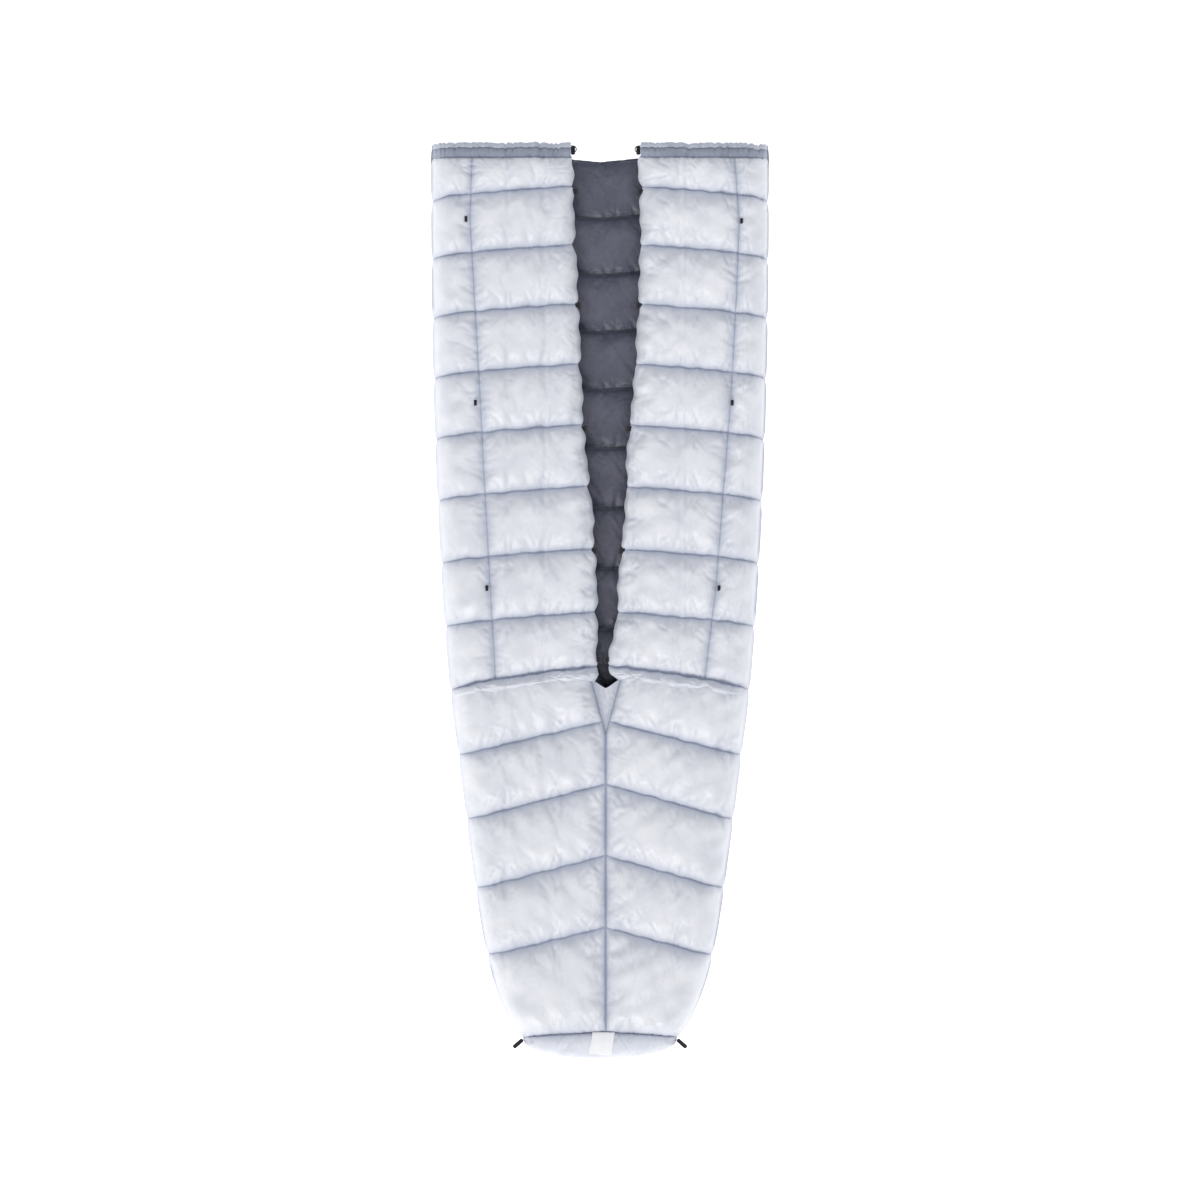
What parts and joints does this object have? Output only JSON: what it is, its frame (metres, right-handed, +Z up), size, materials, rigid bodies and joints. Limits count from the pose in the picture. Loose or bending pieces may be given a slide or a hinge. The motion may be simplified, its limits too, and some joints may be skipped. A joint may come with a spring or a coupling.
{
  "type": "camp quilt",
  "caption": "Tapered down camp quilt lying on its back, with folding front flaps, a closed footbox, clips along the opening and a blank label.",
  "frame": {"origin": "centre of the bounding box in plan, at the surface that the quilt lies on", "axes": "+Y along the quilt's length towards the head, +Z up out of the lying quilt, +X to the right seen from above with the head up"},
  "size_m": [0.718, 1.9283, 0.1229],
  "materials": {
    "shell_nylon": "satin",
    "lining_nylon": "satin",
    "down": "matte",
    "hem_nylon": "satin",
    "clip_plastic": "satin",
    "label_tape": "matte",
    "drawcord": "matte",
    "black_webbing": "matte"
  },
  "bodies": {
    "root": {"back_shell": "shell_nylon", "back_fill": "down", "back_lining": "lining_nylon", "back_head_binding": "lining_nylon", "foot_end_shell": "shell_nylon", "foot_end_fill": "down", "foot_end_lining": "lining_nylon", "mouth_gusset": "shell_nylon", "centre_seam": "shell_nylon", "left_side_shell": "shell_nylon", "left_side_fill": "down", "left_side_lining": "lining_nylon", "left_foot_shell": "shell_nylon", "left_foot_fill": "down", "left_foot_lining": "lining_nylon", "left_loop_2": "black_webbing", "left_loop_3": "black_webbing", "right_side_shell": "shell_nylon", "right_side_fill": "down", "right_side_lining": "lining_nylon", "right_foot_shell": "shell_nylon", "right_foot_fill": "down", "right_foot_lining": "lining_nylon", "right_loop_2": "black_webbing", "right_loop_3": "black_webbing"},
    "left_flap": {"left_flap_shell": "shell_nylon", "left_flap_fill": "down", "left_flap_lining": "lining_nylon", "left_head_hem": "hem_nylon", "left_hem_cord": "drawcord", "left_neck_loop": "drawcord", "left_neck_tab": "black_webbing", "left_loop_1": "black_webbing"},
    "left_clip_1": {"left_clip_1": "clip_plastic"},
    "left_clip_2": {"left_clip_2": "clip_plastic"},
    "left_clip_3": {"left_clip_3": "clip_plastic"},
    "left_clip_4": {"left_clip_4": "clip_plastic"},
    "left_clip_5": {"left_clip_5": "clip_plastic"},
    "left_foot_tab": {"left_foot_tab": "black_webbing"},
    "right_flap": {"right_flap_shell": "shell_nylon", "right_flap_fill": "down", "right_flap_lining": "lining_nylon", "right_head_hem": "hem_nylon", "right_hem_cord": "drawcord", "right_neck_loop": "drawcord", "right_neck_tab": "black_webbing", "right_loop_1": "black_webbing"},
    "right_clip_1": {"right_clip_1": "clip_plastic"},
    "right_clip_2": {"right_clip_2": "clip_plastic"},
    "right_clip_3": {"right_clip_3": "clip_plastic"},
    "right_clip_4": {"right_clip_4": "clip_plastic"},
    "right_clip_5": {"right_clip_5": "clip_plastic"},
    "right_foot_tab": {"right_foot_tab": "black_webbing"},
    "label": {"label": "label_tape"}
  },
  "joints": [
    {"name": "left_flap_fold", "type": "hinge", "parent": "root", "child": "left_flap", "pos_m": [-0.022, -0.19285, 0.119], "axis": [0.2658, -0.964, 0], "range_deg": [0, 145]},
    {"name": "left_clip_1_hinge", "type": "hinge", "parent": "left_flap", "child": "left_clip_1", "pos_m": [-0.0605, 0.86115, 0.093], "axis": [0, -1, 0], "range_deg": [0, 90]},
    {"name": "left_clip_2_hinge", "type": "hinge", "parent": "left_flap", "child": "left_clip_2", "pos_m": [-0.0555, 0.62115, 0.093], "axis": [0, -1, 0], "range_deg": [0, 90]},
    {"name": "left_clip_3_hinge", "type": "hinge", "parent": "left_flap", "child": "left_clip_3", "pos_m": [-0.0402, 0.36115, 0.093], "axis": [0, -1, 0], "range_deg": [0, 90]},
    {"name": "left_clip_4_hinge", "type": "hinge", "parent": "left_flap", "child": "left_clip_4", "pos_m": [-0.022, 0.10415, 0.093], "axis": [0, -1, 0], "range_deg": [0, 90]},
    {"name": "left_clip_5_hinge", "type": "hinge", "parent": "left_flap", "child": "left_clip_5", "pos_m": [-0.0048, -0.12585, 0.093], "axis": [0, -1, 0], "range_deg": [0, 90]},
    {"name": "left_foot_tab_hinge", "type": "hinge", "parent": "root", "child": "left_foot_tab", "pos_m": [-0.16405, -0.93324, 0.0472], "axis": [-0.6561, 0.7547, 0], "range_deg": [0, 80]},
    {"name": "right_flap_fold", "type": "hinge", "parent": "root", "child": "right_flap", "pos_m": [0.046, -0.19285, 0.119], "axis": [0.2471, 0.969, 0], "range_deg": [0, 145]},
    {"name": "right_clip_1_hinge", "type": "hinge", "parent": "right_flap", "child": "right_clip_1", "pos_m": [0.0845, 0.86115, 0.093], "axis": [0, 1, 0], "range_deg": [0, 90]},
    {"name": "right_clip_2_hinge", "type": "hinge", "parent": "right_flap", "child": "right_clip_2", "pos_m": [0.0795, 0.62115, 0.093], "axis": [0, 1, 0], "range_deg": [0, 90]},
    {"name": "right_clip_3_hinge", "type": "hinge", "parent": "right_flap", "child": "right_clip_3", "pos_m": [0.0642, 0.36115, 0.093], "axis": [0, 1, 0], "range_deg": [0, 90]},
    {"name": "right_clip_4_hinge", "type": "hinge", "parent": "right_flap", "child": "right_clip_4", "pos_m": [0.046, 0.10415, 0.093], "axis": [0, 1, 0], "range_deg": [0, 90]},
    {"name": "right_clip_5_hinge", "type": "hinge", "parent": "right_flap", "child": "right_clip_5", "pos_m": [0.0288, -0.12585, 0.093], "axis": [0, 1, 0], "range_deg": [0, 90]},
    {"name": "right_foot_tab_hinge", "type": "hinge", "parent": "root", "child": "right_foot_tab", "pos_m": [0.16405, -0.93324, 0.0472], "axis": [-0.6561, -0.7547, 0], "range_deg": [0, 80]},
    {"name": "label_flip", "type": "hinge", "parent": "root", "child": "label", "pos_m": [0.004, -0.91395, 0.107], "axis": [-1, 0, 0], "range_deg": [0, 180]}
  ]
}
